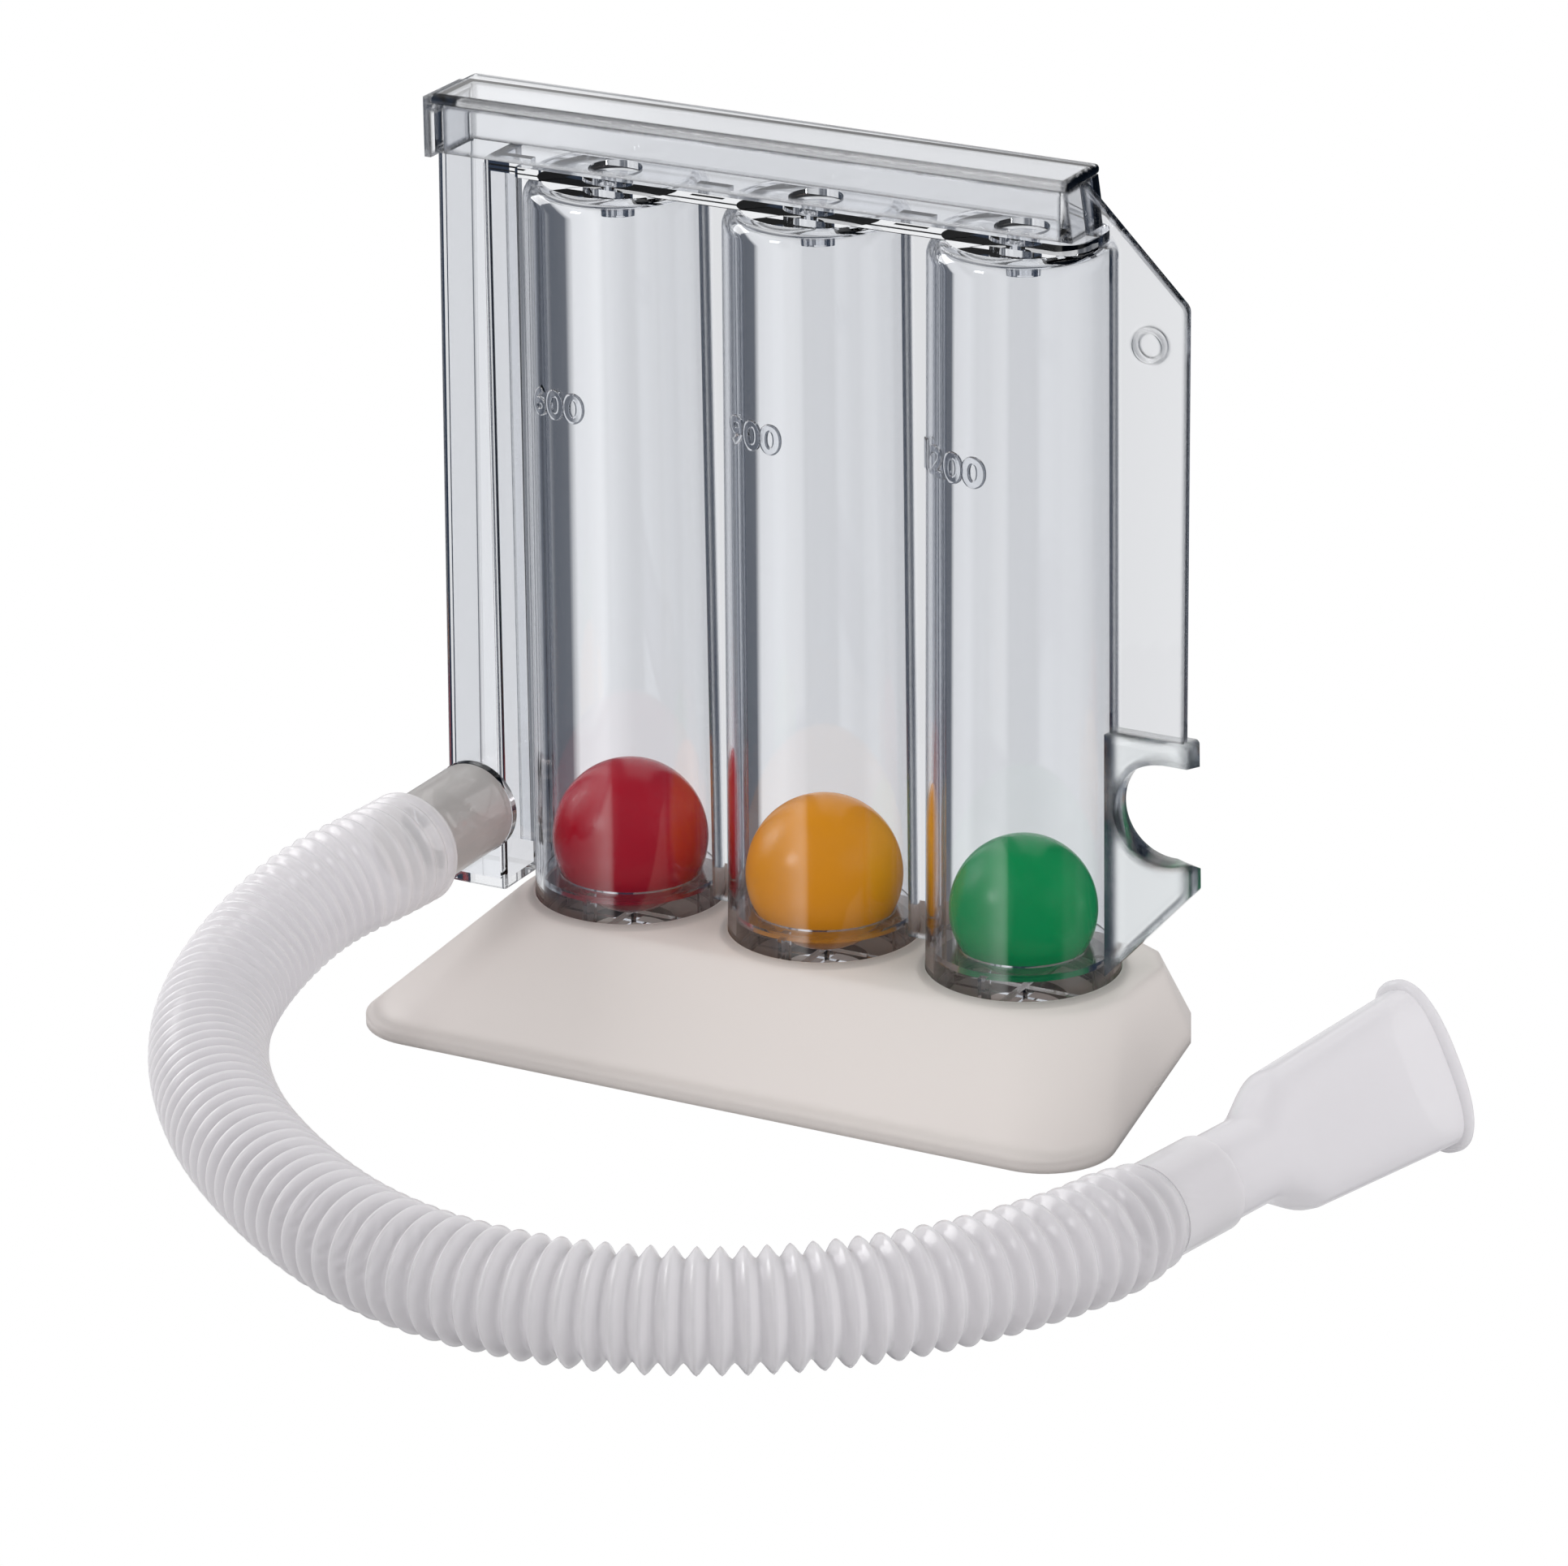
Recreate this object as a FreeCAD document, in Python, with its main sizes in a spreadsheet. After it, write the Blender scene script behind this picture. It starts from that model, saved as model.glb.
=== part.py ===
import FreeCAD
import Part
import math
import os
from FreeCAD import Vector

# Three-ball incentive spirometer. Millimetres, +Z up, the patient's side at -Y.
# The origin is at table level, in the middle of the object without its hose.

SIZES = {
    # where the middle chamber stands, and how far apart the chambers are
    "middle_x": 0.3,
    "axis_y": 8.9,
    "pitch": 37.7,
    # chambers
    "tube_outer": 33.0,
    "tube_outer_top": 31.6,
    "tube_wall": 1.3,
    "chamber_length": 132.9,
    "shoulder": 3.0,
    "roof_wall": 1.6,
    "nozzle_outer": 5.4,
    "nozzle_drop": 3.5,
    "nozzle_bore_600": 2.4,
    "nozzle_bore_900": 2.9,
    "nozzle_bore_1200": 3.4,
    # white foot; its half widths are given beyond the outer chambers' axes
    "base_rise": 14.5,
    "base_rim": 1.6,
    "base_wall": 2.0,
    "foot_shift": 1.0,
    "foot_front": 46.4,
    "foot_back": 28.6,
    "foot_front_half": 34.4,
    "foot_side_half": 23.4,
    "foot_side_back": 14.3,
    "foot_heel_half": 19.3,
    "foot_heel_back": 22.9,
    "foot_back_half": 12.8,
    "foot_corner": 12.0,
    "foot_back_corner": 2.5,
    "top_front": 18.6,
    "top_back": 19.6,
    "top_half": 19.7,
    "top_side_back": 11.0,
    "top_heel_half": 16.3,
    "top_heel_back": 16.4,
    "top_back_half": 10.3,
    "top_corner": 15.0,
    "top_back_corner": 2.5,
    "socket_depth": 5.0,
    "socket_wall": 1.7,
    "socket_floor": 2.0,
    "socket_lip": 0.7,
    "socket_lip_width": 1.3,
    "socket_lip_edge": 0.3,
    "air_hole": 15.0,
    "air_notch_width": 18.0,
    "air_notch_rise": 3.0,
    "fit_gap": 0.1,
    # seats that carry the balls
    "seat_height": 10.0,
    "seat_floor": 1.8,
    "seat_open": 26.0,
    "seat_ring": 1.2,
    "seat_bore_600": 24.5,
    "seat_bore_900": 24.5,
    "seat_bore_1200": 22.2,
    "seat_rib": 1.3,
    "seat_rib_reach": 2.1,
    "seat_spoke": 1.5,
    "seat_gap": 0.15,
    # balls
    "ball_600": 26.8,
    "ball_900": 26.8,
    "ball_1200": 25.0,
    "ball_gap": 0.2,
    # manifold under the lid; its ends are given beyond the outer chambers' axes
    "floor_wall": 1.8,
    "floor_half_depth": 7.6,
    "floor_start": 15.2,
    "floor_end": 13.8,
    "floor_corner": 4.5,
    "well": 9.1,
    "duct_half_depth": 6.05,
    "duct_rise": 8.3,
    "duct_wall": 1.3,
    "duct_left": 31.5,
    "duct_right": 11.6,
    "duct_draft": 1.2,
    "lip_reach": 2.1,
    "lip_wall": 1.2,
    "lip_drop": 1.0,
    "lip_rise": 1.1,
    "lid_wall": 1.8,
    "lid_widening": 2.4,
    "lid_overhang": 0.3,
    "lid_round": 0.8,
    "lid_corner": 0.8,
    # intake column, given beyond the left chamber's axis
    "column_foot_left": 33.2,
    "column_foot_right": 21.5,
    "column_right": 21.2,
    "column_left_round": 1.5,
    "column_right_round": 0.8,
    "column_foot_round": 0.6,
    "column_wall": 1.6,
    "column_foot": 13.0,
    "port_height": 27.8,
    "port_x": 27.2,
    "port_bore": 8.0,
    "collar": 16.4,
    "collar_wall": 1.4,
    "spigot_length": 11.0,
    # thin walls
    "web_wall": 1.6,
    "web_foot": 16.5,
    "intake_web_foot": 20.8,
    # holder, given beyond the right chamber's axis
    "wing_wall": 1.6,
    "wing_right": 29.6,
    "wing_corner": 134.2,
    "wing_round": 2.0,
    "wing_start": 11.2,
    "mark_x": 22.9,
    "mark_height": 127.1,
    "mark_outer": 5.7,
    "mark_line": 0.45,
    "clip_depth": 5.0,
    "clip_top": 59.8,
    "clip_x": 26.7,
    "clip_height": 47.1,
    "clip_bore": 18.0,
    "clip_upper_end": 31.0,
    "clip_upper_round": 0.8,
    "clip_lower_end": 31.5,
    "clip_lower_round": 1.0,
    "clip_lower_corner": 33.5,
    "clip_fall": 21.96,
    "lead_in_start": 26.2,
    "lead_in_end": 34.0,
    "lead_in_low": 38.3,
    "lead_in_low_end": 36.5,
    "lead_in_low_tip": 39.3,
    "lead_in_high": 56.2,
    "lead_in_high_tip": 55.0,
    # hose, cuffs and mouthpiece
    "hose_outer": 20.4,
    "hose_bore": 14.6,
    "cuff_outer": 16.2,
    "cuff_bore": 14.9,
    "spigot_outer": 14.7,
    "inlet_cuff_length": 19.55,
    "outlet_cuff_length": 13.0,
    "neck_bore": 12.7,
    "neck_grip": 11.0,
    "neck_length": 10.0,
    "bell_length": 10.5,
    "body_length": 33.0,
    "body_wide": 23.6,
    "body_thick": 13.6,
    "mouth_wide": 27.2,
    "mouth_thick": 12.4,
    "mouth_wall": 1.1,
    "flange_wide": 30.0,
    "flange_thick": 15.2,
    "flange_wall": 2.0,
}

# Route of the hose. It leaves the inlet cuff straight, then passes these points on its way to the
# outlet cuff: x and y from the inlet cuff's end, height above the table.
HOSE_START = 11.0
HOSE_ROUTE = [
    (-5.9, -23.9, 25.0),
    (-10.7, -35.9, 19.0),
    (-9.4, -49.4, 14.3),
    (-3.4, -61.4, 11.8),
    (5.1, -72.4, 10.7),
    (15.6, -83.4, 10.3),
    (27.6, -93.4, 10.3),
    (41.1, -102.9, 10.3),
    (56.1, -110.9, 10.3),
    (72.1, -115.4, 10.3),
    (88.6, -115.9, 10.3),
    (104.1, -113.1, 10.3),
    (119.1, -106.5, 10.3),
    (132.6, -96.9, 10.3),
    (143.6, -84.7, 10.3),
    (151.8, -71.4, 10.3),
    (158.22, -57.95, 10.37),
    (161.5, -45.9, 11.0),
]
# The mouthpiece points away from the patient's side, a little up and to the right,
# and lies rolled about its own axis.
MOUTH_AXIS = (0.262, 0.9635, 0.05)
MOUTH_ROLL_DEG = 26.0
# Squareness of the mouthpiece's sections: 2 is an ellipse.
NECK_SQUARENESS = 2.0
BODY_SQUARENESS = 2.8
FLANGE_SQUARENESS = 2.4
# How far a cutting tool runs past the face that it opens.
PAST = 1.0

doc = FreeCAD.newDocument("spirometer")
sheet = doc.addObject("Spreadsheet::Sheet", "sizes")
for row, (alias, value) in enumerate(SIZES.items(), start=1):
    sheet.set("A%d" % row, alias)
    sheet.set("B%d" % row, str(value))
    sheet.setAlias("B%d" % row, alias)
doc.recompute()


class Size(float):
    """A number that remembers the sheet formula it comes from."""

    def __new__(cls, number, formula):
        made = super().__new__(cls, number)
        made.formula = formula
        return made

    def __add__(self, other):
        return Size(float(self) + float(other), "(%s + %s)" % (self.formula, formula(other)))

    def __radd__(self, other):
        return Size(float(other) + float(self), "(%s + %s)" % (formula(other), self.formula))

    def __sub__(self, other):
        return Size(float(self) - float(other), "(%s - %s)" % (self.formula, formula(other)))

    def __rsub__(self, other):
        return Size(float(other) - float(self), "(%s - %s)" % (formula(other), self.formula))

    def __mul__(self, other):
        return Size(float(self) * float(other), "(%s * %s)" % (self.formula, formula(other)))

    def __rmul__(self, other):
        return Size(float(other) * float(self), "(%s * %s)" % (formula(other), self.formula))

    def __truediv__(self, other):
        return Size(float(self) / float(other), "(%s / %s)" % (self.formula, formula(other)))

    def __neg__(self):
        return Size(-float(self), "(0 - %s)" % self.formula)


def formula(value):
    """The expression text of a Size, or of a plain number."""
    if isinstance(value, Size):
        return value.formula
    return repr(float(value))


def size(alias):
    """A driving dimension, read from the sheet."""
    return Size(float(sheet.get(alias)), "sizes." + alias)


def root(value):
    """Square root that keeps its formula."""
    return Size(math.sqrt(float(value)), "sqrt(%s)" % formula(value))


def bind(thing, **formulas):
    """Tie properties of a document object to the sheet."""
    for name, value in formulas.items():
        thing.setExpression(name, formula(value))


def place(thing, x=0.0, y=0.0, z=0.0):
    """Tie an object's place to the sheet."""
    thing.setExpression("Placement.Base.x", formula(x))
    thing.setExpression("Placement.Base.y", formula(y))
    thing.setExpression("Placement.Base.z", formula(z))


def cylinder(name, radius, height, x, y, z):
    """Upright round bar."""
    bar = doc.addObject("Part::Cylinder", name)
    bind(bar, Radius=radius, Height=height)
    place(bar, x, y, z)
    return bar


def level_cylinder(name, radius, length, x, y, z):
    """Round bar that lies along Y, from y towards +Y."""
    bar = doc.addObject("Part::Cylinder", name)
    bar.Placement.Rotation = FreeCAD.Rotation(Vector(1, 0, 0), -90)
    bind(bar, Radius=radius, Height=length)
    place(bar, x, y, z)
    return bar


def box(name, low_x, high_x, low_y, high_y, low_z, high_z):
    """Block between two corners."""
    block = doc.addObject("Part::Box", name)
    bind(block, Length=high_x - low_x, Width=high_y - low_y, Height=high_z - low_z)
    place(block, low_x, low_y, low_z)
    return block


def fuse(name, *pieces):
    joined = doc.addObject("Part::MultiFuse", name)
    joined.Shapes = list(pieces)
    joined.Refine = True
    return joined


def cut(name, blank, *tools):
    if len(tools) == 1:
        tool = tools[0]
    else:
        tool = fuse(name + "_tools", *tools)
    left = doc.addObject("Part::Cut", name)
    left.Base = blank
    left.Tool = tool
    return left


def outline(corners, inset=0.0):
    """Closed run of lines and corner arcs. Each corner is (x, y, radius); the inset moves every side in."""
    count = len(corners)
    points = [Vector(x, y, 0) for x, y, _ in corners]
    sides = [(points[(i + 1) % count] - points[i]).normalize() for i in range(count)]
    inward = [Vector(-side.y, side.x, 0) for side in sides]
    moved = []
    for i in range(count):
        turn = sides[i - 1].cross(sides[i]).z
        shift = (inward[i] - inward[i - 1]).dot(sides[i - 1]) * inset / turn
        moved.append(points[i] + inward[i - 1] * inset + sides[i - 1] * shift)
    edges = []
    ends = []
    for i in range(count):
        before, after = sides[i - 1], sides[i]
        half = abs(before.getAngle(after)) / 2
        radius = max(corners[i][2] - inset, 0.3) if corners[i][2] > 0 else 0.0
        reach = radius * math.tan(half)
        first = moved[i] - before * reach
        last = moved[i] + after * reach
        bisector = (after - before).normalize()
        middle = moved[i] + bisector * (radius / math.cos(half) - radius)
        ends.append((first, middle, last, radius))
    for i in range(count):
        first, middle, last, radius = ends[i]
        if radius > 0:
            edges.append(Part.Arc(first, middle, last))
        edges.append(Part.LineSegment(last, ends[(i + 1) % count][0]))
    return edges


def sketch(name, edges, x=0.0, y=0.0, z=0.0):
    """Free-standing sketch that lies level at its height."""
    drawn = doc.addObject("Sketcher::SketchObject", name)
    drawn.addGeometry(edges, False)
    place(drawn, x, y, z)
    return drawn


def in_plane(body, role):
    """The body's own origin plane of that role."""
    return next(f for f in body.Origin.OriginFeatures if f.Role == role)


def drawn_body(name, role, edges):
    """Body with one sketch on one of its origin planes."""
    body = doc.addObject("PartDesign::Body", name)
    drawn = body.newObject("Sketcher::SketchObject", name + "_outline")
    drawn.AttachmentSupport = [(in_plane(body, role), "")]
    drawn.MapMode = "FlatFace"
    drawn.addGeometry(edges, False)
    return body, drawn


def slab(name, corners, depth, y, x=0.0):
    """Plate with an outline in X and Z, centred on its Y."""
    body, drawn = drawn_body(name, "XZ_Plane", outline(corners))
    pad = body.newObject("PartDesign::Pad", name + "_pad")
    pad.Profile = drawn
    pad.Midplane = True
    bind(pad, Length=depth)
    place(body, x, y, 0.0)
    return body


def plate(name, corners, thickness, x, y, z):
    """Level plate with an outline in X and Y."""
    body, drawn = drawn_body(name, "XY_Plane", outline(corners))
    pad = body.newObject("PartDesign::Pad", name + "_pad")
    pad.Profile = drawn
    bind(pad, Length=thickness)
    place(body, x, y, z)
    return body


def turned(name, profile, x, y, z):
    """Body of revolution about an upright axis; the profile is in radius and height."""
    body, drawn = drawn_body(name, "XZ_Plane", profile)
    spin = body.newObject("PartDesign::Revolution", name + "_spin")
    spin.Profile = drawn
    spin.ReferenceAxis = (drawn, ["V_Axis"])
    spin.Angle = 360.0
    place(body, x, y, z)
    return body


middle_x = size("middle_x")
axis_y = size("axis_y")
pitch = size("pitch")
tube_radius = size("tube_outer") / 2
top_radius = size("tube_outer_top") / 2
bore_radius = tube_radius - size("tube_wall")
plateau_z = size("base_rise")
foot_z = plateau_z - size("socket_depth")
roof_z = foot_z + size("chamber_length")
duct_z = roof_z + size("floor_wall")
lid_z = duct_z + size("duct_rise")
seat_top_z = foot_z + size("seat_height")
nozzle_z = roof_z - size("roof_wall") - size("nozzle_drop")


def left(alias):
    """Place left of the middle chamber, from a size given beyond the left chamber's axis."""
    return -(pitch + size(alias))


def right(alias):
    """Place right of the middle chamber, from a size given beyond the right chamber's axis."""
    return pitch + size(alias)


port_x = middle_x + left("port_x")
port_z = size("port_height")
duct_front_y = axis_y - size("duct_half_depth")
cuff_front_y = duct_front_y - size("collar_wall") - size("inlet_cuff_length")

CHAMBERS = ("600", "900", "1200")
BALL_COLOURS = {"600": "red", "900": "yellow", "1200": "green"}
chamber_x = {mark: middle_x + pitch * (turn - 1) for turn, mark in enumerate(CHAMBERS)}


def ball_centre_z(mark):
    """Height at which a ball rests in its seat's bore, a small gap above the ring's edge."""
    reach = size("ball_" + mark) / 2 + size("ball_gap")
    bore = size("seat_bore_" + mark) / 2
    return seat_top_z + root(reach * reach - bore * bore)


def tube_envelope(mark, name):
    """What a chamber fills, for walls that run up to it."""
    shoulder = size("shoulder")
    length = size("chamber_length") - shoulder
    drafted = doc.addObject("Part::Cone", name + "_drafted")
    bind(drafted, Radius1=tube_radius, Radius2=top_radius, Height=length)
    place(drafted, chamber_x[mark], axis_y, foot_z)
    crown = cylinder(name + "_crown", top_radius, shoulder, chamber_x[mark], axis_y, foot_z + length)
    return fuse(name, drafted, crown)


def build_base():
    """White tent-shaped foot: sloping sides up to a plateau with three sockets, hollow below."""
    low_round, high_round = size("foot_back_corner"), size("top_back_corner")
    foot = [
        (right("foot_front_half"), -size("foot_front"), size("foot_corner")),
        (right("foot_side_half"), size("foot_side_back"), low_round),
        (right("foot_heel_half"), size("foot_heel_back"), low_round),
        (right("foot_back_half"), size("foot_back"), low_round),
    ]
    top = [
        (right("top_half"), -size("top_front"), size("top_corner")),
        (right("top_half"), size("top_side_back"), high_round),
        (right("top_heel_half"), size("top_heel_back"), high_round),
        (right("top_back_half"), size("top_back"), high_round),
    ]
    foot += [(-x, y, corner) for x, y, corner in reversed(foot)]
    top += [(-x, y, corner) for x, y, corner in reversed(top)]
    wall = size("base_wall")
    rim = size("base_rim")
    foot_x = middle_x + size("foot_shift")

    def tent(name, inset, low_z, drop):
        """Solid between the foot's outline, its rim and the plateau's outline."""
        levels = [
            sketch(name + "_ground", outline(foot, inset), foot_x, axis_y, low_z),
            sketch(name + "_rim", outline(foot, inset), foot_x, axis_y, rim),
            sketch(name + "_plateau", outline(top, inset), foot_x, axis_y, plateau_z - drop),
        ]
        loft = doc.addObject("Part::Loft", name)
        loft.Sections = levels
        loft.Solid = True
        loft.Ruled = True
        return loft

    shell = cut("base_shell", tent("base_outer", 0.0, 0.0, 0.0), tent("base_inner", wall, -PAST, wall))
    socket_radius = tube_radius + size("fit_gap")
    cup_radius = socket_radius + size("socket_wall")
    cup_floor = foot_z - size("socket_floor")
    added = [shell]
    removed = []
    for mark in CHAMBERS:
        x = chamber_x[mark]
        added.append(cylinder("cup_" + mark, cup_radius, plateau_z - cup_floor, x, axis_y, cup_floor))
        lip = doc.addObject("Part::Cone", "lip_" + mark)
        bind(lip, Radius1=socket_radius + size("socket_lip_width"), Radius2=socket_radius + size("socket_lip_edge"),
             Height=size("socket_lip"))
        place(lip, x, axis_y, plateau_z)
        added.append(lip)
        removed.append(cylinder("socket_" + mark, socket_radius, plateau_z, x, axis_y, foot_z))
        removed.append(cylinder("air_" + mark, size("air_hole") / 2, plateau_z, x, axis_y, 0.0))
        half = size("air_notch_width") / 2
        removed.append(box("notch_" + mark, x - half, x + half, axis_y + size("top_back"),
                           axis_y + size("foot_back") + PAST, -PAST, size("air_notch_rise")))
    return cut("base_plate", fuse("base_blank", *added), *removed)


def build_chamber(mark):
    """Clear drafted tube with a rounded shoulder, a roof and a nozzle that hangs from it."""
    length = size("chamber_length")
    shoulder = size("shoulder")
    wall = size("tube_wall")
    under = length - size("roof_wall")
    nozzle = size("nozzle_outer") / 2
    hole = size("nozzle_bore_" + mark) / 2
    tip = under - size("nozzle_drop")
    inner = shoulder - wall
    inner_top = top_radius - wall
    lean = 1 - math.sqrt(0.5)

    def at(radius, height):
        return Vector(radius, height, 0)

    profile = [
        Part.LineSegment(at(bore_radius, 0), at(tube_radius, 0)),
        Part.LineSegment(at(tube_radius, 0), at(top_radius, length - shoulder)),
        Part.Arc(at(top_radius, length - shoulder),
                 at(top_radius - shoulder * lean, length - shoulder * lean),
                 at(top_radius - shoulder, length)),
        Part.LineSegment(at(top_radius - shoulder, length), at(hole, length)),
        Part.LineSegment(at(hole, length), at(hole, tip)),
        Part.LineSegment(at(hole, tip), at(nozzle, tip)),
        Part.LineSegment(at(nozzle, tip), at(nozzle, under)),
        Part.LineSegment(at(nozzle, under), at(inner_top - inner, under)),
        Part.Arc(at(inner_top - inner, under),
                 at(inner_top - inner * lean, under - inner * lean),
                 at(inner_top, under - inner)),
        Part.LineSegment(at(inner_top, under - inner), at(bore_radius, 0)),
    ]
    return turned("chamber_" + mark, profile, chamber_x[mark], axis_y, foot_z)


def build_seat(mark):
    """Spoked ring at a chamber's foot: floor ring, crossed spokes, upright ribs and the ring under the ball."""
    x = chamber_x[mark]
    outer = bore_radius - size("seat_gap")
    floor = size("seat_floor")
    ring = size("seat_ring")
    bore = size("seat_bore_" + mark) / 2
    rib = size("seat_rib") / 2
    spoke = size("seat_spoke") / 2
    inner = outer - size("seat_rib_reach")
    ring_top = seat_top_z
    blank = cylinder("seat_disc_" + mark, outer, floor, x, axis_y, foot_z)
    open_middle = cylinder("seat_open_" + mark, size("seat_open") / 2, floor, x, axis_y, foot_z)
    upper = cylinder("seat_upper_" + mark, outer, ring, x, axis_y, ring_top - ring)
    upper_bore = cylinder("seat_bore_" + mark, bore, ring, x, axis_y, ring_top - ring)
    pieces = [
        cut("seat_foot_" + mark, blank, open_middle),
        cut("seat_top_" + mark, upper, upper_bore),
        box("seat_spoke_x_" + mark, x - inner, x + inner, axis_y - spoke, axis_y + spoke,
            foot_z, foot_z + floor),
        box("seat_spoke_y_" + mark, x - spoke, x + spoke, axis_y - inner, axis_y + inner,
            foot_z, foot_z + floor),
    ]
    ribs_blank = fuse(
        "seat_ribs_blank_" + mark,
        box("seat_rib_x_" + mark, x - outer, x + outer, axis_y - rib, axis_y + rib, foot_z, ring_top - ring),
        box("seat_rib_y_" + mark, x - rib, x + rib, axis_y - outer, axis_y + outer, foot_z, ring_top - ring))
    inside = cylinder("seat_inside_" + mark, inner, size("seat_height"), x, axis_y, foot_z)
    around = doc.addObject("Part::MultiCommon", "seat_around_" + mark)
    around.Shapes = [ribs_blank, cylinder("seat_round_" + mark, outer, size("seat_height"), x, axis_y, foot_z)]
    pieces.append(cut("seat_ribs_" + mark, around, inside))
    return fuse("ball_seat_" + mark, *pieces)


def build_ball(mark):
    """Hollow in life; one closed sphere here."""
    ball = doc.addObject("Part::Sphere", "ball_" + BALL_COLOURS[mark])
    bind(ball, Radius=size("ball_" + mark) / 2)
    place(ball, chamber_x[mark], axis_y, ball_centre_z(mark))
    return ball


def build_column():
    """Rectangular intake duct with a slight draft, closed at its foot, with the port in its front wall."""
    wall = size("column_wall")
    low = size("column_foot")
    half = size("duct_half_depth")
    foot_left, foot_right = left("column_foot_left"), left("column_foot_right")
    top_left, top_right = left("duct_left"), left("column_right")
    blank = slab("column_outer", [
        (foot_left, low, 0), (foot_right, low, 0), (top_right, duct_z, 0), (top_left, duct_z, 0),
    ], half * 2, axis_y, middle_x)
    doc.recompute()
    foot_height = float(low)
    middle = float(middle_x + (foot_left + foot_right) / 2)
    rounds = []
    for index, edge in enumerate(blank.Shape.Edges, start=1):
        heights = [v.Point.z for v in edge.Vertexes]
        if max(heights) - min(heights) > foot_height:
            at_left = edge.Vertexes[0].Point.x < middle
            radius = float(size("column_left_round" if at_left else "column_right_round"))
            rounds.append((index, radius, radius))
        elif max(heights) < foot_height + PAST:
            radius = float(size("column_foot_round"))
            rounds.append((index, radius, radius))
    outer = doc.addObject("Part::Fillet", "column_rounded")
    outer.Base = blank
    outer.Edges = rounds
    inner = slab("column_inner", [
        (foot_left + wall, low + wall, 0), (foot_right - wall, low + wall, 0),
        (top_right - wall, duct_z + PAST, 0), (top_left + wall, duct_z + PAST, 0),
    ], (half - wall) * 2, axis_y, middle_x)
    port = level_cylinder("port_hole", size("port_bore") / 2, wall * 2, port_x, duct_front_y - wall / 2, port_z)
    return cut("intake_column", outer, inner, port)


def build_port():
    """Collar and spigot that the hose's cuff pushes on."""
    collar = size("collar_wall")
    length = collar + size("spigot_length")
    disc = level_cylinder("port_collar", size("collar") / 2, collar, port_x, duct_front_y - collar, port_z)
    spigot = level_cylinder("port_spigot", size("spigot_outer") / 2, length, port_x, duct_front_y - length, port_z)
    bore = level_cylinder("port_bore_cut", size("port_bore") / 2, length * 2, port_x,
                          duct_front_y - length * 1.5, port_z)
    return cut("intake_port", fuse("port_blank", disc, spigot), bore)


def build_inlet_cuff():
    """Smooth end of the hose, pushed on the port up to its collar."""
    length = size("inlet_cuff_length")
    outer = level_cylinder("inlet_cuff_outer", size("cuff_outer") / 2, length, port_x, cuff_front_y, port_z)
    bore = level_cylinder("inlet_cuff_bore", size("cuff_bore") / 2, length, port_x, cuff_front_y, port_z)
    return cut("inlet_cuff", outer, bore)


def build_webs():
    """Thin walls that tie the column and the chambers together."""
    half = size("web_wall") / 2
    webs = []
    spans = [("intake_web", None, "600", size("intake_web_foot")),
             ("web_left", "600", "900", size("web_foot")),
             ("web_right", "900", "1200", size("web_foot"))]
    for name, before, after, low in spans:
        start = middle_x + left("column_right") if before is None else chamber_x[before]
        wall = box(name + "_wall", start, chamber_x[after], axis_y - half, axis_y + half, low, roof_z)
        tools = [tube_envelope(after, name + "_after")]
        if before:
            tools.append(tube_envelope(before, name + "_before"))
        else:
            reach = size("column_wall")
            tools.append(slab("intake_web_side", [
                (left("column_foot_right") - reach, size("column_foot"), 0),
                (left("column_foot_right"), size("column_foot"), 0),
                (left("column_right"), duct_z, 0),
                (left("column_right") - reach, duct_z, 0),
            ], size("web_wall") * 2, axis_y, middle_x))
            wall.setExpression("Placement.Base.x", formula(start - reach / 2))
            wall.setExpression("Length", formula(chamber_x[after] - start + reach / 2))
        webs.append(cut(name, wall, *tools))
    return webs


def build_manifold_floor():
    """Flange across the chamber roofs, with a round well over each nozzle."""
    narrow = size("duct_half_depth")
    wide = size("floor_half_depth")
    start, end = left("floor_start"), right("floor_end")
    corner = size("floor_corner")
    edge = left("column_right")
    blank = plate("floor_blank", [
        (edge, -narrow, 0), (start, -narrow, 0), (start, -wide, 0),
        (end, -wide, corner), (end, wide, corner),
        (start, wide, 0), (start, narrow, 0), (edge, narrow, 0),
    ], size("floor_wall"), middle_x, axis_y, roof_z)
    wells = [cylinder("well_" + mark, size("well") / 2, size("floor_wall"), chamber_x[mark], axis_y, roof_z)
             for mark in CHAMBERS]
    return cut("manifold_floor", blank, *wells)


def duct_block(name):
    """What the duct fills outside, with its drafted right end."""
    start, end = left("duct_left"), right("duct_right")
    return slab(name, [
        (start, duct_z, 0), (end, duct_z, 0), (end - size("duct_draft"), lid_z, 0), (start, lid_z, 0),
    ], size("duct_half_depth") * 2, axis_y, middle_x)


def build_manifold_walls():
    """Walls of the duct between floor and lid, with the upright lip at the left end."""
    wall = size("duct_wall")
    half = size("duct_half_depth")
    start = middle_x + left("duct_left")
    inner = box("duct_inside", start + wall, middle_x + right("duct_right") - size("duct_draft") - wall,
                axis_y - half + wall, axis_y + half - wall, duct_z, lid_z)
    ring = cut("duct_ring", duct_block("duct_outer"), inner)
    outer = start - size("lip_reach")
    blade = size("lip_wall")
    lip = box("lip_blade", outer, outer + blade, axis_y - half, axis_y + half,
              duct_z - size("lip_drop"), lid_z + size("lip_rise"))
    tie = box("lip_tie", outer, start, axis_y - half, axis_y + half, lid_z - blade, lid_z)
    return fuse("manifold_walls", ring, lip, tie)


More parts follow.
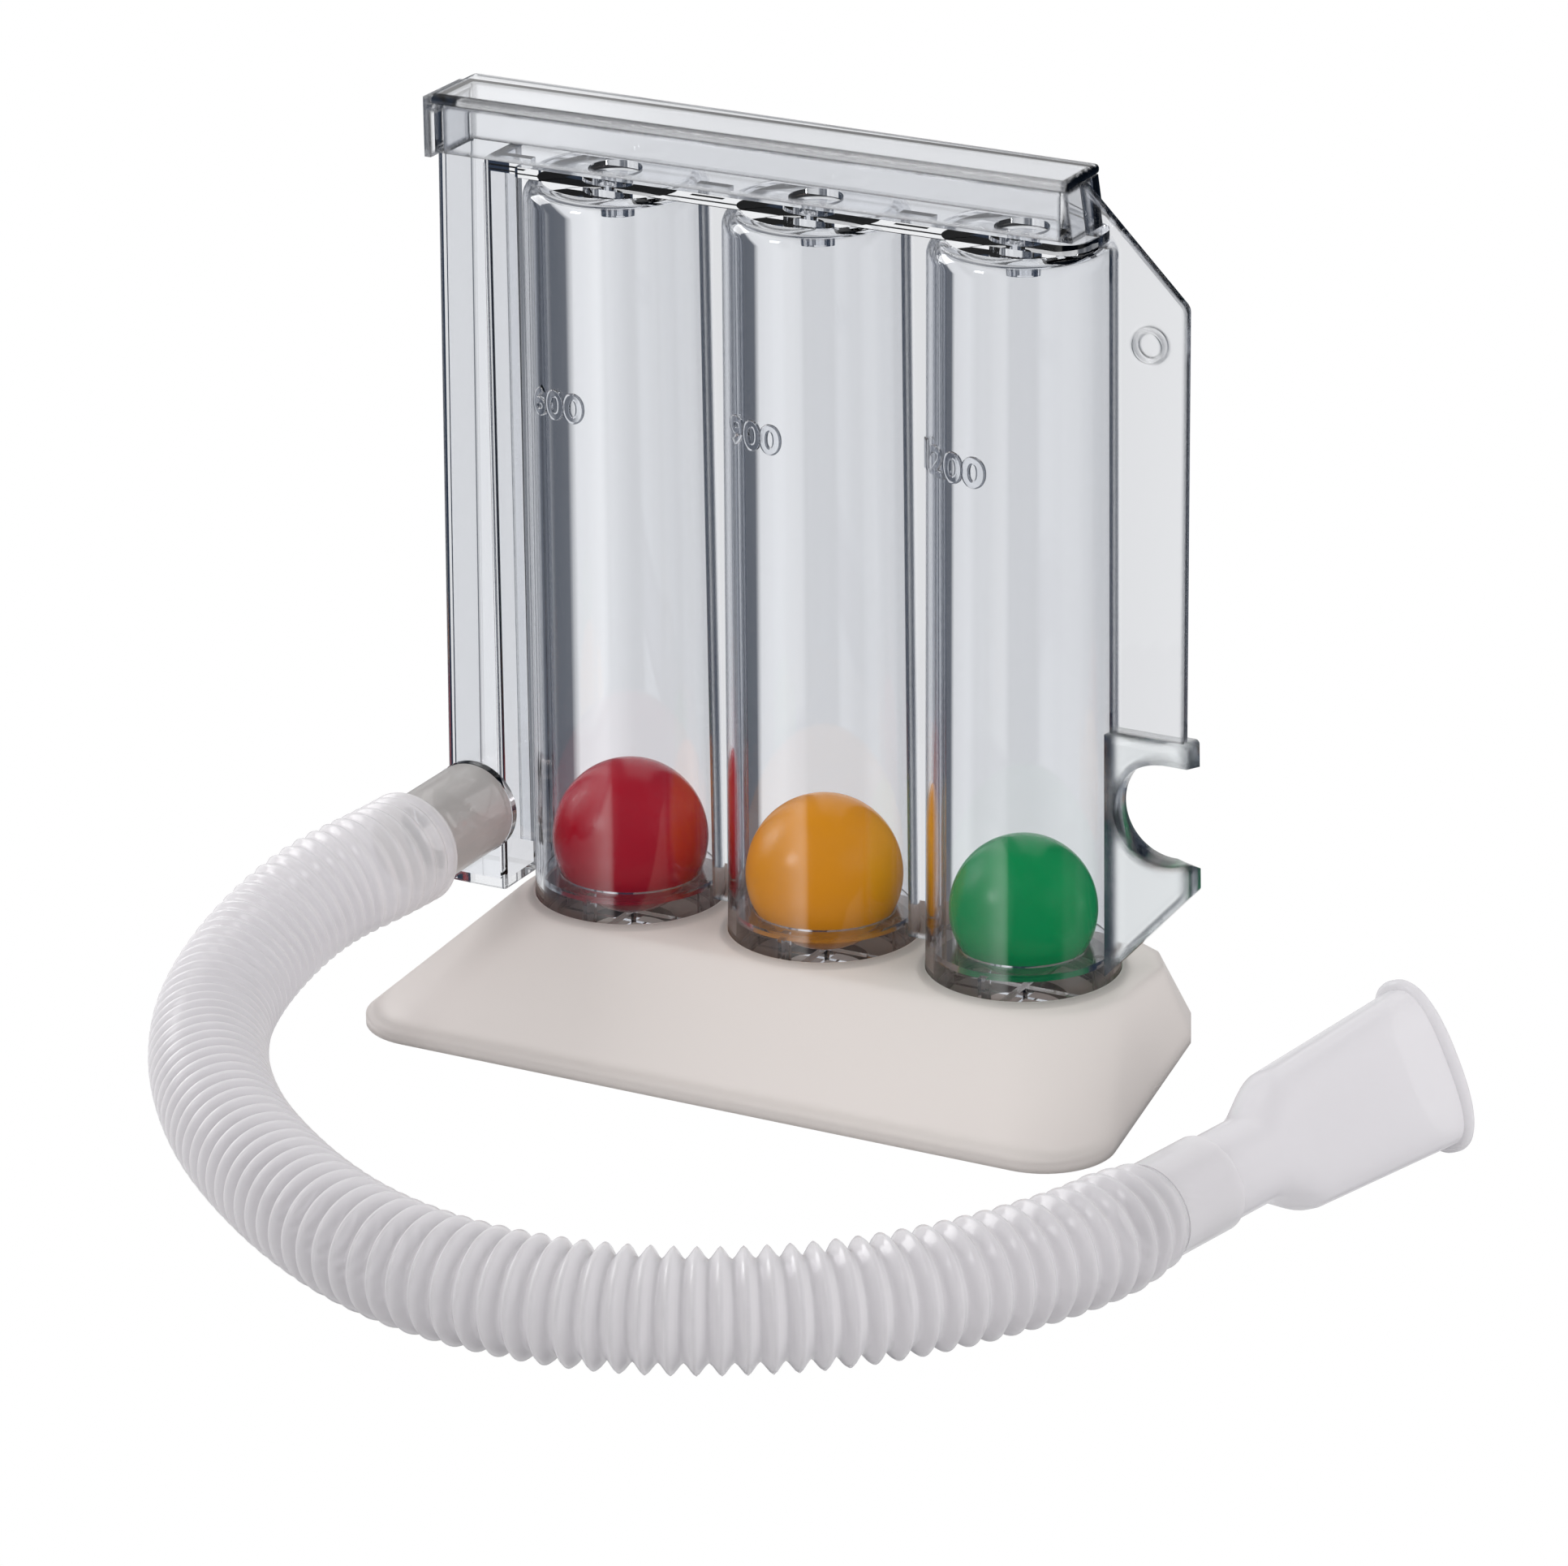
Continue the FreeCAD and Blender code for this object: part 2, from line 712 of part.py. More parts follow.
def build_lid():
    """Flat lid cemented on the duct's walls, with its edges rounded."""
    over = size("lid_overhang")
    start = left("duct_left") - size("lip_reach") + size("lip_wall") + size("fit_gap")
    end = right("duct_right") - size("duct_draft") + over
    half = size("duct_half_depth") + over
    back = half + size("lid_widening")
    corner = size("lid_corner")
    blank = plate("lid_blank", [
        (start, -half, corner), (end, -half, corner), (end, half, corner), (start, back, corner),
    ], size("lid_wall"), middle_x, axis_y, lid_z)
    doc.recompute()
    radius = float(size("lid_round"))
    level = [index for index, edge in enumerate(blank.Shape.Edges, start=1)
             if abs(edge.Vertexes[0].Point.z - edge.Vertexes[-1].Point.z) < radius / 2]
    rounded = doc.addObject("Part::Fillet", "manifold_lid")
    rounded.Base = blank
    rounded.Edges = [(index, radius, radius) for index in level]
    return rounded


def build_wing():
    """Thin plate beside the third chamber, with a raised round mark."""
    end = right("wing_right")
    base = size("clip_top")
    blank = slab("wing_blank", [
        (pitch, base, 0), (end, base, 0), (end, size("wing_corner"), size("wing_round")),
        (right("wing_start"), lid_z, 0), (pitch, lid_z, 0),
    ], size("wing_wall"), axis_y, middle_x)
    floor_block = box("wing_floor", middle_x + pitch - PAST, middle_x + right("floor_end"),
                      axis_y - size("web_wall"), axis_y + size("web_wall"), roof_z, duct_z)
    flat = cut("wing_flat", blank, tube_envelope("1200", "wing_tube"), floor_block, duct_block("wing_duct"))
    x = middle_x + right("mark_x")
    high = size("mark_height")
    line = size("mark_line")
    depth = size("wing_wall") + line * 2
    mark_outer = level_cylinder("mark_outer", size("mark_outer") / 2, depth, x, axis_y - depth / 2, high)
    mark_inner = level_cylinder("mark_inner", size("mark_outer") / 2 - line, depth, x, axis_y - depth / 2, high)
    ring = cut("mark_ring", mark_outer, mark_inner)
    return fuse("holder_wing", flat, ring)


def wedge(name, first_y, first, second_y, second):
    """Cutter between two outlines in X and Z that stand at two places along Y, a little past both."""
    way = 1 if float(second_y) > float(first_y) else -1
    levels = []
    for y, points in ((first_y - PAST * way / 10, first), (second_y + PAST * way / 10, second)):
        corners = [Vector(float(middle_x + x), float(y), float(z)) for x, z in points]
        levels.append(Part.makePolygon(corners + corners[:1]))
    cutter = doc.addObject("Part::Feature", name)
    cutter.Shape = Part.makeLoft(levels, True, True)
    return cutter


def build_clip():
    """C-shaped clip whose bore opens to the right, on the side of the third chamber."""
    upper, lower = right("clip_upper_end"), right("clip_lower_end")
    top, corner = size("clip_top"), size("clip_lower_corner")
    inner = pitch + tube_radius - size("clip_depth")
    blank = slab("clip_blank", [
        (inner, corner - size("clip_fall"), 0), (lower, corner, size("clip_lower_round")),
        (upper, top, size("clip_upper_round")), (inner, top, 0),
    ], size("clip_depth"), axis_y, middle_x)
    bore = level_cylinder("clip_bore_cut", size("clip_bore") / 2, size("clip_depth") * 2,
                          middle_x + right("clip_x"), axis_y - size("clip_depth"), size("clip_height"))
    near, far = axis_y - size("clip_depth") / 2, axis_y + size("clip_depth") / 2
    start, end = right("lead_in_start"), right("lead_in_end")
    tip = right("clip_upper_end")
    low, low_end, low_tip = size("lead_in_low"), size("lead_in_low_end"), size("lead_in_low_tip")
    high, high_tip = size("lead_in_high"), size("lead_in_high_tip")
    height = size("clip_height")
    lower_lead = wedge("clip_lower_lead", far, [(start, low), (end, low_end), (end, height)],
                       near, [(lower, low_tip), (end, low_tip), (end, height)])
    upper_lead = wedge("clip_upper_lead", near, [(start, high), (start, height), (end, height), (end, high)],
                       far, [(tip, high_tip), (tip, height), (end, height), (end, high_tip)])
    return cut("mouthpiece_clip", blank, bore, tube_envelope("1200", "clip_tube"), lower_lead, upper_lead)


def hose_corners():
    """The route's points in the part's frame, from the inlet cuff's end to the outlet cuff."""
    start = Vector(port_x, cuff_front_y, port_z)
    corners = [start, start - Vector(0, HOSE_START, 0)]
    corners += [Vector(start.x + x, start.y + y, z) for x, y, z in HOSE_ROUTE]
    return corners


def route_wire(corners):
    """Straight runs joined by tangent arcs, each as large as its two runs allow."""
    runs = [(b - a).Length for a, b in zip(corners, corners[1:])]
    edges = []
    radii = []
    start = corners[0]
    for i in range(1, len(corners) - 1):
        before = (corners[i] - corners[i - 1]).normalize()
        after = (corners[i + 1] - corners[i]).normalize()
        half = before.getAngle(after) / 2
        reach = 0.45 * min(runs[i - 1], runs[i])
        radius = reach / math.tan(half)
        first = corners[i] - before * reach
        last = corners[i] + after * reach
        bisector = (after - before).normalize()
        middle = corners[i] + bisector * (radius / math.cos(half) - radius)
        edges.append(Part.LineSegment(start, first).toShape())
        edges.append(Part.Arc(first, middle, last).toShape())
        radii.append(radius)
        start = last
    edges.append(Part.LineSegment(start, corners[-1]).toShape())
    return Part.Wire(edges), radii


def build_hose():
    """The hose's plain outer form along its route, hollow all the way."""
    corners = hose_corners()
    path, radii = route_wire(corners)
    first = corners[0]
    aim = (corners[1] - first).normalize()

    def swept(radius):
        ring = Part.Wire([Part.Circle(first, aim, radius).toShape()])
        return path.makePipeShell([ring], True, False)

    outer, inner = float(size("hose_outer") / 2), float(size("hose_bore") / 2)
    tube = doc.addObject("Part::Feature", "hose_tube")
    tube.Shape = swept(outer).cut(swept(inner))
    section = math.pi * (outer ** 2 - inner ** 2)
    print("hose length %.1f, arc radii %s" % (path.Length, ["%.0f" % r for r in radii]))
    print("hose volume over section times length %.4f" % (tube.Shape.Volume / (section * path.Length)))
    return tube


def mouth_frame():
    """Placement whose Z runs along the mouthpiece and whose X is its wide direction."""
    along = Vector(*MOUTH_AXIS).normalize()
    side = along.cross(Vector(0, 0, 1)).normalize()
    up = side.cross(along).normalize()
    roll = math.radians(MOUTH_ROLL_DEG)
    wide = up * math.cos(roll) - side * math.sin(roll)
    thin = along.cross(wide)
    turn = FreeCAD.Rotation(wide, thin, along, "ZXY")
    return FreeCAD.Placement(hose_corners()[-1], turn)


def build_outlet_cuff():
    """Smooth end of the hose that takes the mouthpiece's neck."""
    outer, bore = float(size("cuff_outer") / 2), float(size("cuff_bore") / 2)
    length = float(size("outlet_cuff_length"))
    cuff = doc.addObject("Part::Feature", "outlet_cuff")
    cuff.Shape = Part.makeCylinder(outer, length).cut(Part.makeCylinder(bore, length))
    cuff.Placement = mouth_frame()
    return cuff


def oval(wide, thick, squareness, height):
    """Closed smooth curve |x/a|^n + |y/b|^n = 1 at a height, n being its squareness."""
    steps = 24
    points = []
    for step in range(steps):
        turn = 2 * math.pi * step / steps
        c, s = math.cos(turn), math.sin(turn)
        x = math.copysign(abs(c) ** (2 / squareness), c) * wide / 2
        y = math.copysign(abs(s) ** (2 / squareness), s) * thick / 2
        points.append(Vector(x, y, height))
    curve = Part.BSplineCurve()
    curve.interpolate(points, PeriodicFlag=True)
    return Part.Wire([curve.toShape()])


def build_mouthpiece():
    """Round neck that swells into a flattened body and ends in a lip flange, open all the way."""
    neck = float(size("spigot_outer"))
    bore = float(size("neck_bore"))
    wall = float(size("mouth_wall"))
    wide, thick = float(size("body_wide")), float(size("body_thick"))
    end_wide, end_thick = float(size("mouth_wide")), float(size("mouth_thick"))
    start = float(size("outlet_cuff_length") - size("neck_grip"))
    shoulder = start + float(size("neck_grip") + size("neck_length"))
    bell = float(size("bell_length"))
    end = shoulder + bell + float(size("body_length"))
    flange = float(size("flange_wall"))
    flange_wide, flange_thick = float(size("flange_wide")), float(size("flange_thick"))
    swell_steps = 5

    def form(inset, low, high, stem):
        """Neck, swelling shoulder and body, each side of the body set in by the inset."""
        rings = [oval(stem, stem, NECK_SQUARENESS, low), oval(stem, stem, NECK_SQUARENESS, shoulder)]
        for step in range(1, swell_steps + 1):
            part_way = step / swell_steps
            blend = part_way * part_way * (3 - 2 * part_way)
            rings.append(oval(stem + (wide - 2 * inset - stem) * blend,
                              stem + (thick - 2 * inset - stem) * blend,
                              NECK_SQUARENESS + (BODY_SQUARENESS - NECK_SQUARENESS) * blend,
                              shoulder + bell * part_way))
        rings.append(oval(end_wide - 2 * inset, end_thick - 2 * inset, BODY_SQUARENESS, high))
        return Part.makeLoft(rings, True, True)

    rim = Part.makeLoft([oval(flange_wide, flange_thick, FLANGE_SQUARENESS, end),
                         oval(flange_wide, flange_thick, FLANGE_SQUARENESS, end + flange)], True, True)
    outside = form(0.0, start, end + flange, neck).fuse(rim)
    piece = doc.addObject("Part::Feature", "mouthpiece")
    piece.Shape = outside.cut(form(wall, start - PAST, end + flange + PAST, bore))
    piece.Placement = mouth_frame()
    return piece


def all_nodes():
    nodes = [build_base()]
    nodes += [build_chamber(mark) for mark in CHAMBERS]
    nodes += [build_seat(mark) for mark in CHAMBERS]
    nodes += [build_ball(mark) for mark in CHAMBERS]
    nodes += [build_column(), build_port()]
    nodes += build_webs()
    nodes += [build_manifold_floor(), build_manifold_walls(), build_lid()]
    nodes += [build_wing(), build_clip()]
    nodes += [build_hose(), build_inlet_cuff(), build_outlet_cuff(), build_mouthpiece()]
    return nodes


nodes = all_nodes()
doc.recompute()
failed = [thing.Name for thing in doc.Objects if {"Invalid", "Error"} & set(thing.State)]
if failed:
    raise RuntimeError("these objects failed to build: %s" % failed)
for node in nodes:
    node.Label = node.Name
    if node.Shape.isNull() or not node.Shape.isValid():
        raise RuntimeError("%s has no valid shape" % node.Label)
os.makedirs("parts", exist_ok=True)
for node in nodes:
    node.Shape.exportStep("parts/%s.step" % node.Label)
    bounds = node.Shape.BoundBox
    print("%-16s solids %d volume %9.1f  x %7.2f %7.2f  y %7.2f %7.2f  z %7.2f %7.2f" % (
        node.Label, len(node.Shape.Solids), node.Shape.Volume,
        bounds.XMin, bounds.XMax, bounds.YMin, bounds.YMax, bounds.ZMin, bounds.ZMax))
for mark in CHAMBERS:
    top = nozzle_z - size("ball_gap") - size("ball_" + mark) / 2
    print("ball %s rests at %.2f and rises %.2f" % (mark, ball_centre_z(mark), top - ball_centre_z(mark)))
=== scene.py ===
import math

import bmesh
import bpy
import numpy as np
from mathutils import Matrix, Vector
from mathutils.geometry import tessellate_polygon


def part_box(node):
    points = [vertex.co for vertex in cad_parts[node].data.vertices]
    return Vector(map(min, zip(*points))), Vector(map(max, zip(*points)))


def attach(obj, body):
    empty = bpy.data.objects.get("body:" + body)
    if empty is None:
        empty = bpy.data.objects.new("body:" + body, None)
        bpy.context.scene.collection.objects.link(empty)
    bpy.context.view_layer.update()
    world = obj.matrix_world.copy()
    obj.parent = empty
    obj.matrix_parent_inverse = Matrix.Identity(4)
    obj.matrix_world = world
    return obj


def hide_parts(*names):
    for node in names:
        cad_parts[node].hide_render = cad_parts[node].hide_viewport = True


# Looks of the three-ball incentive spirometer. Metres, in the CAD's own frame.
# Each clear piece refracts as a real wall. The world rides with the camera, as a studio set for clear
# plastic.

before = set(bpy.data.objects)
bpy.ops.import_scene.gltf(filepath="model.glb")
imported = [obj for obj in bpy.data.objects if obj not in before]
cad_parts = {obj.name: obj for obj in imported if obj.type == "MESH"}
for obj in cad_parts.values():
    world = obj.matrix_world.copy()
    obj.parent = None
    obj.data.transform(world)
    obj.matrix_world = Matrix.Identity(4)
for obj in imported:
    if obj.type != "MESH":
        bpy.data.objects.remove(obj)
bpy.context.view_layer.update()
MM = 0.001

# Camera, found by fitting the photograph
PHOTO_WIDTH = 1932
FOCAL_PIXELS = 9191.8
CAMERA_AZIMUTH = math.radians(28.57)
CAMERA_ELEVATION = math.radians(21.13)
CAMERA_ROLL = math.radians(-0.7)
CAMERA_DISTANCE = 1242.4 * MM
AIM = Vector((0.3, 8.9, 84.5)) * MM
AIM_RIGHT = -6.66 * MM
AIM_UP = -40.39 * MM

# Chambers: drafted tubes whose roofs are one with the slab over them
CHAMBER_X = {"600": -37.4 * MM, "900": 0.3 * MM, "1200": 38.0 * MM}
CHAMBER_Y = 8.9 * MM
TUBE_LOW = 9.5 * MM
TUBE_HIGH = 142.4 * MM
TUBE_RADIUS = 16.5 * MM
TUBE_TOP_RADIUS = 15.8 * MM
TUBE_WALL = 1.3 * MM
TUBE_STEPS = 160
SHOULDER = 3.0 * MM
ROOF = 1.6 * MM
NOZZLE_RADIUS = 2.7 * MM
NOZZLE_DROP = 3.5 * MM
NOZZLE_HOLE = {"600": 1.2 * MM, "900": 1.45 * MM, "1200": 1.7 * MM}
WELL_RADIUS = 4.55 * MM
FLOOR_HIGH = 144.2 * MM

# Manifold floor: half its depth at the narrow left end and beyond the step, and the rounding at its right end
SLAB_LEFT = -58.6 * MM
SLAB_STEP = -52.6 * MM
SLAB_RIGHT = 51.8 * MM
SLAB_NARROW = 6.05 * MM
SLAB_WIDE = 7.6 * MM
SLAB_CORNER = 4.5 * MM

BALLS = {"600": "ball_red", "900": "ball_yellow", "1200": "ball_green"}
SEAM_DEPTH = 0.006
SEAM_WIDTH = 0.02
SEAM_TILT = (24, 35)
BALL_STEPS = 96
BALL_ROWS = 64

# Flow marks on the chambers: where the last digit stands around the tube, and the digits' size
MARK_TURN = {"600": -88.4, "900": -90.3, "1200": -90.9}
MARK_LOW = 104.1 * MM
MARK_HEIGHT = 5.4 * MM
MARK_PITCH = 14.9
MARK_GAP = 0.25
MARK_RELIEF = 0.6 * MM
MARK_EXTRUDE = 0.03
MARK_BEVEL = 0.04
MARK_SWELL = 0.01
MARK_SLICE = 0.05

# Hose: the route of the CAD tube, a little closer to the photograph near the inlet
HOSE_ROUTE = [
    (-0.0646, -0.0181, 0.0278),
    (-0.0650, -0.0262, 0.0278),
    (-0.0716, -0.0388, 0.0250),
    (-0.0755, -0.0525, 0.0190),
    (-0.0742, -0.0668, 0.0143),
    (-0.0680, -0.0793, 0.0118),
    (-0.0595, -0.0905, 0.0107),
    (-0.0490, -0.1015, 0.0103),
    (-0.0370, -0.1115, 0.0103),
    (-0.0235, -0.1210, 0.0103),
    (-0.0085, -0.1290, 0.0103),
    (0.0075, -0.1335, 0.0103),
    (0.0240, -0.1340, 0.0103),
    (0.0395, -0.1312, 0.0103),
    (0.0545, -0.1246, 0.0103),
    (0.0680, -0.1150, 0.0103),
    (0.0790, -0.1028, 0.0103),
    (0.0872, -0.0895, 0.0103),
    (0.09362, -0.07605, 0.01037),
    (0.0969, -0.0640, 0.0110),
]
HOSE_CREST = 9.95 * MM
HOSE_WALL = 0.6 * MM
HOSE_STEPS = 56
CUFF_RADIUS = 8.1 * MM
CUFF_STEP = 0.5 * MM
NARROW_LENGTH = 8 * MM
END_WALL = 1.0 * MM

# Rings of the hose: low and close together by the inlet, tall and stretched after its first bend
RING_PITCH = (2.35 * MM, 3.75 * MM)
RING_HEIGHT = (0.8 * MM, 2.2 * MM)
RING_CHANGE = (45 * MM, 110 * MM)

# Mouthpiece: distances run along its axis from the end of the hose's cuff
MOUTH_AXIS = Vector((0.262, 0.9635, 0.05)).normalized()
MOUTH_ROLL = math.radians(26)
MOUTH_START = 2.0 * MM
MOUTH_NECK_END = 23.0 * MM
MOUTH_BELL = 10.5 * MM
MOUTH_BODY = 35.0 * MM
MOUTH_LIP = 66.5 * MM
MOUTH_FLANGE = 2.0 * MM
MOUTH_WALL = 1.1 * MM
MOUTH_NECK = 7.35 * MM
MOUTH_BORE = 6.35 * MM
MOUTH_BODY_HALVES = (11.8 * MM, 6.8 * MM)
MOUTH_END_HALVES = (13.6 * MM, 6.2 * MM)
MOUTH_RIM_HALVES = (15.0 * MM, 7.6 * MM)

# Brightness of the room from the camera's left (0) to its right (1), behind the object and behind the camera
ROOM_BEHIND = [
    (0.0, 0.06), (0.12, 0.2), (0.2, 0.75), (0.337, 0.78), (0.367, 0.2), (0.405, 0.16),
    (0.422, 0.36), (0.434, 0.15), (0.459, 0.17), (0.4625, 0.96), (0.484, 0.98), (0.492, 0.84),
    (0.52, 0.82), (0.53, 0.89), (0.56, 0.89), (0.575, 0.81), (0.66, 0.81), (0.68, 0.03),
]
ROOM_BEFORE = [
    (0.0, 0.05), (0.05, 0.15), (0.10, 0.28), (0.16, 0.45), (0.24, 0.9), (0.29, 1.0),
    (0.32, 0.7), (0.35, 0.03), (0.82, 0.03), (0.86, 0.25), (0.94, 0.25), (0.97, 0.03),
]
ROOM_REST = 0.74
WHITE = (1, 1, 1, 1)

# What is left of light that passes a clear wall as a shadow ray or a bounced one
WINDOW_TINT = (0.97, 0.975, 0.975, 1)


def build_mesh(name, points, faces, smooth=True):
    """A mesh object from arrays of points and faces."""
    data = bpy.data.meshes.new(name)
    data.from_pydata([tuple(p) for p in points], [], [tuple(int(i) for i in f) for f in faces])
    data.validate()
    data.update()
    data.polygons.foreach_set("use_smooth", [smooth] * len(data.polygons))
    piece = bpy.data.objects.new(name, data)
    bpy.context.collection.objects.link(piece)
    return piece


def grid_faces(rows, columns, wrap_rows=False):
    """Quads between rows of points; each row closes on itself, and the rows may too."""
    faces = []
    for i in range(rows if wrap_rows else rows - 1):
        a, b = i * columns, ((i + 1) % rows) * columns
        for j in range(columns):
            k = (j + 1) % columns
            faces.append((a + j, a + k, b + k, b + j))
    return faces


def lathe(name, profile, centre, steps=128, closed=True):
    """Run of (radius, height) turned about an upright axis at centre."""
    turns = np.linspace(0, 2 * np.pi, steps, endpoint=False)
    rows = []
    for radius, height in profile:
        rows.append(np.stack([
            centre[0] + radius * np.cos(turns),
            centre[1] + radius * np.sin(turns),
            np.full(steps, height),
        ], axis=1))
    return build_mesh(name, np.concatenate(rows), grid_faces(len(profile), steps, wrap_rows=closed))


def arc(centre, radius, start, end, steps):
    """Points of (radius, height) on a quarter round, angles in degrees."""
    return [(centre[0] + radius * math.cos(math.radians(a)), centre[1] + radius * math.sin(math.radians(a)))
            for a in np.linspace(start, end, steps)]


def new_material(name):
    """Empty node material with its output; returns the material, its nodes and a linker."""
    made = bpy.data.materials.new(name)
    made.use_nodes = True
    made.node_tree.nodes.clear()
    output = made.node_tree.nodes.new("ShaderNodeOutputMaterial")
    return made, made.node_tree.nodes, made.node_tree.links.new, output


def principled(nodes, **sockets):
    """Principled shader with its sockets set by name, spaces written as underscores."""
    shader = nodes.new("ShaderNodeBsdfPrincipled")
    for name, value in sockets.items():
        shader.inputs[name.replace("_", " ")].default_value = value
    return shader


def let_light_through(nodes, link, shader, output, tint):
    """The shader for what the eye sees, and a plain tinted window for shadows and bounced light."""
    path = nodes.new("ShaderNodeLightPath")
    either = nodes.new("ShaderNodeMath")
    either.operation = "MAXIMUM"
    window = nodes.new("ShaderNodeBsdfTransparent")
    window.inputs["Color"].default_value = tint
    mix = nodes.new("ShaderNodeMixShader")
    link(path.outputs["Is Shadow Ray"], either.inputs[0])
    link(path.outputs["Is Diffuse Ray"], either.inputs[1])
    link(either.outputs[0], mix.inputs["Fac"])
    link(shader, mix.inputs[1])
    link(window.outputs[0], mix.inputs[2])
    link(mix.outputs[0], output.inputs["Surface"])


def soften_edges(nodes, link, shader, radius):
    """Normals that turn softly over a sharp edge, as on a moulding with a small radius there."""
    soft_edge = nodes.new("ShaderNodeBevel")
    soft_edge.samples = 6
    soft_edge.inputs["Radius"].default_value = radius
    link(soft_edge.outputs[0], shader.inputs["Normal"])


def clear_plastic(name, edge_radius=0.0, tint=(0.942, 0.952, 0.972, 1)):
    """Polished polystyrene, clear with a trace of cold grey."""
    made, nodes, link, output = new_material(name)
    shader = principled(nodes, Base_Color=tint, Roughness=0.01, IOR=1.58, Transmission_Weight=1.0)
    if edge_radius:
        soften_edges(nodes, link, shader, edge_radius)
    let_light_through(nodes, link, shader.outputs[0], output, WINDOW_TINT)
    return made


def base_plastic():
    """Satin off-white moulding with softly rounded edges. Its reflection in the clear pieces is painted
    darker than it is.
    """
    made, nodes, link, output = new_material("base_plastic_look")
    shader = principled(nodes, Base_Color=(0.66, 0.612, 0.588, 1), Roughness=0.42, IOR=1.46)
    soften_edges(nodes, link, shader, 0.004)
    path = nodes.new("ShaderNodeLightPath")
    # Painted reflection: glossy rays see this dim brown diffuse in place of the lit base
    painted_dim_reflection = nodes.new("ShaderNodeBsdfDiffuse")
    painted_dim_reflection.inputs["Color"].default_value = (0.24, 0.20, 0.185, 1)
    mix = nodes.new("ShaderNodeMixShader")
    link(path.outputs["Is Glossy Ray"], mix.inputs["Fac"])
    link(shader.outputs[0], mix.inputs[1])
    link(painted_dim_reflection.outputs[0], mix.inputs[2])
    link(mix.outputs[0], output.inputs["Surface"])
    return made


def ball_plastic(name, colour):
    """Glossy dyed polyethylene with faint moulding streaks."""
    made, nodes, link, output = new_material(name)
    shader = principled(nodes, Roughness=0.22, IOR=1.5)
    place = nodes.new("ShaderNodeTexCoord")
    streaks = nodes.new("ShaderNodeTexNoise")
    streaks.inputs["Scale"].default_value = 60.0
    shades = nodes.new("ShaderNodeMix")
    shades.data_type = "RGBA"
    shades.inputs["A"].default_value = colour
    shades.inputs["B"].default_value = tuple(0.78 * c for c in colour[:3]) + (1,)
    link(place.outputs["Object"], streaks.inputs["Vector"])
    link(streaks.outputs["Fac"], shades.inputs["Factor"])
    link(shades.outputs["Result"], shader.inputs["Base Color"])
    link(shader.outputs[0], output.inputs["Surface"])
    return made


def milky_plastic(name, colour, clearness, depth):
    """Soft translucent polyethylene: partly a window, partly a diffuse skin that light also passes through.
    In the clear pieces' mirror image only the window shows."""
    made, nodes, link, output = new_material(name)
    skin = principled(nodes, Base_Color=colour, Roughness=0.14, IOR=1.5)
    glow = nodes.new("ShaderNodeBsdfTranslucent")
    glow.inputs["Color"].default_value = colour
    window = nodes.new("ShaderNodeBsdfTransparent")
    window.inputs["Color"].default_value = depth
    both = nodes.new("ShaderNodeMixShader")
    both.inputs["Fac"].default_value = 0.3
    seen = nodes.new("ShaderNodeMixShader")
    grazing = nodes.new("ShaderNodeLayerWeight")
    grazing.inputs["Blend"].default_value = 0.3
    amount = nodes.new("ShaderNodeMapRange")
    amount.inputs["To Min"].default_value = clearness
    amount.inputs["To Max"].default_value = 0.0
    link(grazing.outputs["Facing"], amount.inputs["Value"])
    link(skin.outputs[0], both.inputs[1])
    link(glow.outputs[0], both.inputs[2])
    link(amount.outputs["Result"], seen.inputs["Fac"])
    link(both.outputs[0], seen.inputs[1])
    link(window.outputs[0], seen.inputs[2])
    path = nodes.new("ShaderNodeLightPath")
    unmirrored = nodes.new("ShaderNodeMixShader")
    link(path.outputs["Is Glossy Ray"], unmirrored.inputs["Fac"])
    link(seen.outputs[0], unmirrored.inputs[1])
    link(window.outputs[0], unmirrored.inputs[2])
    link(unmirrored.outputs[0], output.inputs["Surface"])
    return made


CLEAR = clear_plastic("clear_plastic_look")
CLEAR_MOULDED = clear_plastic("clear_moulded_look", 0.0012)
CLEAR_THICK = clear_plastic("clear_thick_look", 0.003, (0.89, 0.92, 0.935, 1))
BASE = base_plastic()
BALL_LOOKS = {
    "600": ball_plastic("ball_red_look", (0.40, 0.004, 0.016, 1)),
    "900": ball_plastic("ball_yellow_look", (0.76, 0.28, 0.001, 1)),
    "1200": ball_plastic("ball_green_look", (0.001, 0.25, 0.07, 1)),
}
HOSE = milky_plastic("hose_look", (0.955, 0.945, 0.955, 1), 0.6, (0.895, 0.885, 0.90, 1))
CUFF = milky_plastic("cuff_look", (0.66, 0.64, 0.63, 1), 0.6, (0.80, 0.78, 0.77, 1))
MOUTH = milky_plastic("mouthpiece_look", (0.93, 0.915, 0.935, 1), 0.36, (0.88, 0.87, 0.885, 1))


def dress(node, look):
    """Gives a CAD node a material."""
    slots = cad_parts[node].data.materials
    slots.clear()
    slots.append(look)


def finish_piece(piece, look, body, slot, *nodes):
    """Material, body and the CAD nodes that a piece stands for. The slot argument is not used."""
    piece.data.materials.append(look)
    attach(piece, body)
    if nodes:
        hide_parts(*nodes)
    return piece


